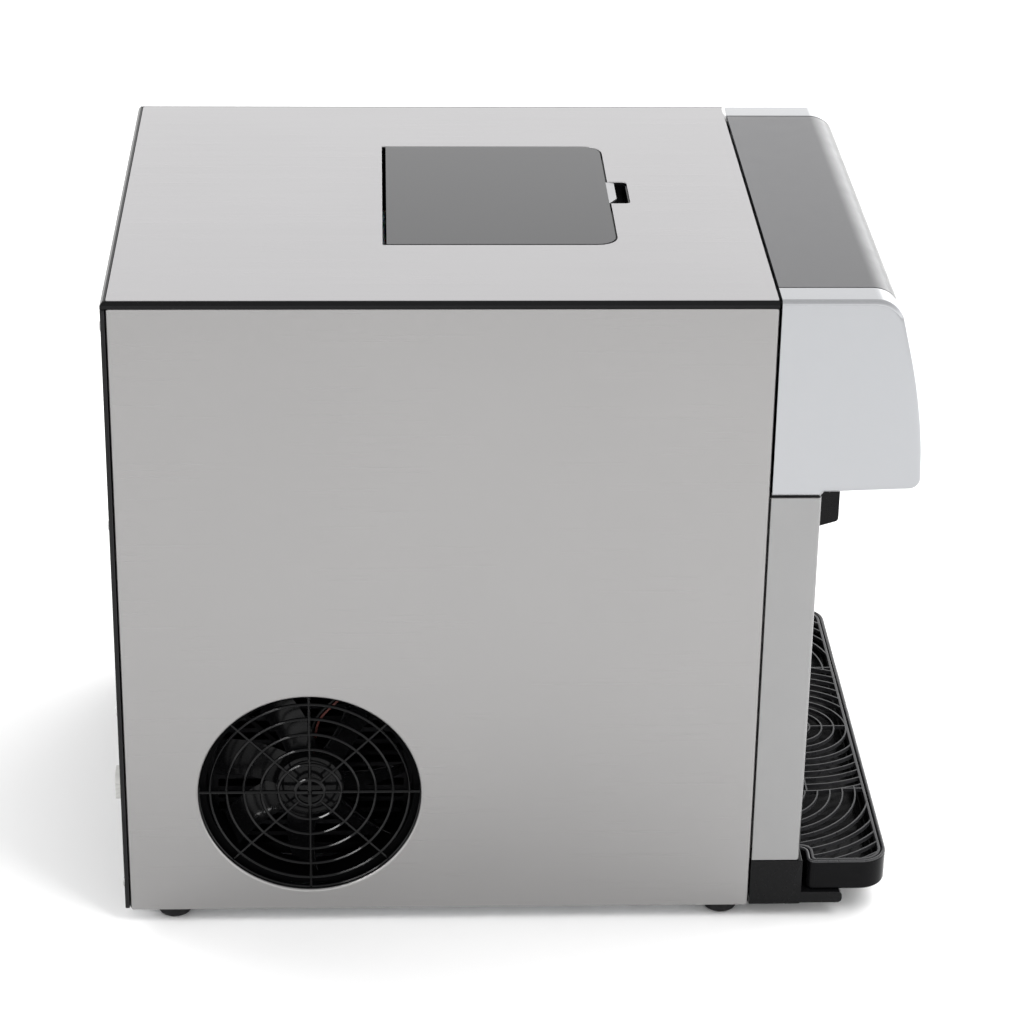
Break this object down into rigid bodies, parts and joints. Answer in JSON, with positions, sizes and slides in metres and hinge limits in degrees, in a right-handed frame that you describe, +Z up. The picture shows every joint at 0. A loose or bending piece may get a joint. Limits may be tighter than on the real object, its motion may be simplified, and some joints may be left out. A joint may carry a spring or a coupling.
{
  "type": "countertop ice maker",
  "caption": "Box-shaped countertop ice maker and water dispenser with a top hatch, a round side fan grille, a dispenser head over a cup bay and a sliding drip tray.",
  "frame": {"origin": "centre of the bounding box on the floor plane", "axes": "+Z up; -Y is the front, where the cup bay and head are; +X is the user's right"},
  "size_m": [0.36, 0.5012, 0.4322],
  "materials": {
    "stainless": "brushed warm grey stainless sheet",
    "silver_paint": "satin silver painted plastic",
    "black_plastic": "fine-grained black moulded plastic",
    "gloss_black": "polished black plastic",
    "smoked_lid": "glossy dark grey plastic",
    "display": "black display window",
    "rubber": "matt black rubber",
    "galvanised": "galvanised sheet",
    "white_plastic": "off-white moulded plastic",
    "clear_grey": "pale grey food-grade plastic",
    "copper": "drawn copper tube",
    "nickel": "nickel-plated metal",
    "enamel": "black enamelled steel",
    "board": "green circuit board",
    "lead": "red insulated lead",
    "fins": "aluminium fins"
  },
  "bodies": {
    "machine": {"left_side_panel": "stainless", "right_side_panel": "stainless", "top_panel": "stainless", "top_frame": "black_plastic", "hatch_hinge_pin": "nickel", "rear_panel": "black_plastic", "base_pan": "galvanised", "mid_deck": "galvanised", "front_bulkhead": "galvanised", "foot_front_left": "rubber", "foot_front_right": "rubber", "foot_rear_left": "rubber", "foot_rear_right": "rubber", "front_base": "black_plastic", "left_column": "silver_paint", "right_column": "silver_paint", "splash_panel": "black_plastic", "head_housing": "silver_paint", "control_panel": "gloss_black", "lcd_window": "display", "control_board": "board", "ice_chute": "black_plastic", "lever_pin": "nickel", "lever_switch": "black_plastic", "water_nozzle": "black_plastic", "ice_bin": "clear_grey", "auger_motor": "galvanised", "water_tank": "clear_grey", "evaporator": "nickel", "freezer_bracket": "galvanised", "tray_motor": "black_plastic", "side_fan_grille": "gloss_black", "fan_frame": "black_plastic", "fan_lead": "lead", "condenser": "fins", "compressor": "enamel", "compressor_grommet_left": "rubber", "compressor_grommet_right": "rubber", "suction_line": "copper", "discharge_line": "copper", "filter_drier": "copper", "water_pump": "black_plastic", "inlet_valve": "white_plastic", "water_inlet": "white_plastic", "drain_outlet": "black_plastic", "power_inlet": "black_plastic", "power_board": "board"},
    "lid": {"hatch_lid": "smoked_lid"},
    "tray": {"drip_tray": "black_plastic"},
    "grid": {"drip_grid": "black_plastic"},
    "lever": {"dispense_lever": "black_plastic"},
    "power_key": {"button_power": "black_plastic"},
    "ice_key": {"button_ice": "black_plastic"},
    "water_key": {"button_water": "black_plastic"},
    "clean_key": {"button_clean": "black_plastic"},
    "rotor": {"fan_rotor": "black_plastic"},
    "auger_screw": {"auger": "clear_grey"},
    "freezing_trough": {"freezing_tray": "clear_grey"},
    "drain_plug": {"drain_cap": "white_plastic"}
  },
  "joints": [
    {"name": "hatch_hinge", "type": "hinge", "parent": "machine", "child": "lid", "pos_m": [0, 0.07258, 0.429], "axis": [-1, 0, 0], "range_deg": [0, 95]},
    {"name": "tray_slide", "type": "slide", "parent": "machine", "child": "tray", "axis": [0, -1, 0], "range_m": [0, 0.11]},
    {"name": "grid_lift", "type": "slide", "parent": "tray", "child": "grid", "axis": [0, 0, 1], "range_m": [0, 0.06]},
    {"name": "lever_pivot", "type": "hinge", "parent": "machine", "child": "lever", "pos_m": [0, -0.17042, 0.207], "axis": [1, 0, 0], "range_deg": [0, 9], "stiffness_Nm_per_rad": 0.3},
    {"name": "fan_spin", "type": "hinge", "parent": "machine", "child": "rotor", "pos_m": [-0.161, 0.12498, 0.0946], "axis": [-1, 0, 0], "continuous": true},
    {"name": "auger_spin", "type": "hinge", "parent": "machine", "child": "auger_screw", "pos_m": [0, -0.01842, 0.258], "axis": [0, 1, 0], "continuous": true},
    {"name": "trough_tilt", "type": "hinge", "parent": "machine", "child": "freezing_trough", "pos_m": [0, 0.10358, 0.392], "axis": [1, 0, 0], "range_deg": [0, 40]},
    {"name": "drain_pull", "type": "slide", "parent": "machine", "child": "drain_plug", "axis": [0, 1, 0], "range_m": [0, 0.025]},
    {"name": "power_press", "type": "slide", "parent": "machine", "child": "power_key", "axis": [0, 0.9914, -0.1305], "range_m": [0, 0.0012], "stiffness_N_per_m": 400},
    {"name": "ice_press", "type": "slide", "parent": "machine", "child": "ice_key", "axis": [0, 0.9914, -0.1305], "range_m": [0, 0.0012], "stiffness_N_per_m": 400},
    {"name": "water_press", "type": "slide", "parent": "machine", "child": "water_key", "axis": [0, 0.9914, -0.1305], "range_m": [0, 0.0012], "stiffness_N_per_m": 400},
    {"name": "clean_press", "type": "slide", "parent": "machine", "child": "clean_key", "axis": [0, 0.9914, -0.1305], "range_m": [0, 0.0012], "stiffness_N_per_m": 400}
  ]
}
